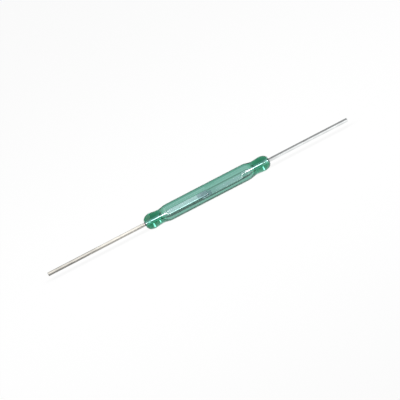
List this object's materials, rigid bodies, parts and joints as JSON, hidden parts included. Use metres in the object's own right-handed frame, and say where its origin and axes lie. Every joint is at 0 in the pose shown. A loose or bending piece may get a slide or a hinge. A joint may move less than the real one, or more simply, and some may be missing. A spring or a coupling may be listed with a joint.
{
  "type": "glass reed switch",
  "caption": "Sealed glass tube with a wire lead at each end and overlapping flat reed blades inside that bend together and close a contact when a magnet comes near.",
  "frame": {"origin": "centre of the glass tube, on its axis", "axes": "+X along the leads towards the shorter tail, +Z normal to the faces of the blades"},
  "size_m": [0.048, 0.0024, 0.0024],
  "materials": {
    "green_glass": "clear green, fire polished",
    "tinned_wire": "satin tinned wire",
    "reed_alloy": "bright pressed nickel-iron",
    "contact_plating": "dark bright contact plating"
  },
  "bodies": {
    "envelope": {"glass_envelope": "green_glass", "left_lead": "tinned_wire", "right_lead": "tinned_wire"},
    "left_blade": {"left_reed_blade": "reed_alloy", "left_contact": "contact_plating"},
    "right_blade": {"right_reed_blade": "reed_alloy", "right_contact": "contact_plating"}
  },
  "joints": [
    {"name": "left_reed_flex", "type": "hinge", "parent": "envelope", "child": "left_blade", "pos_m": [-0.0062, 0, 0.00001], "axis": [0, 1, 0], "range_deg": [0, 0.39], "stiffness_Nm_per_rad": 0.005},
    {"name": "right_reed_flex", "type": "hinge", "parent": "envelope", "child": "right_blade", "pos_m": [0.00525, 0, -0.00031], "axis": [0, 1, 0], "range_deg": [0, 0.39], "stiffness_Nm_per_rad": 0.005}
  ],
  "couplings": [
    {"joint": "right_reed_flex", "follows": "left_reed_flex", "ratio": 1}
  ]
}
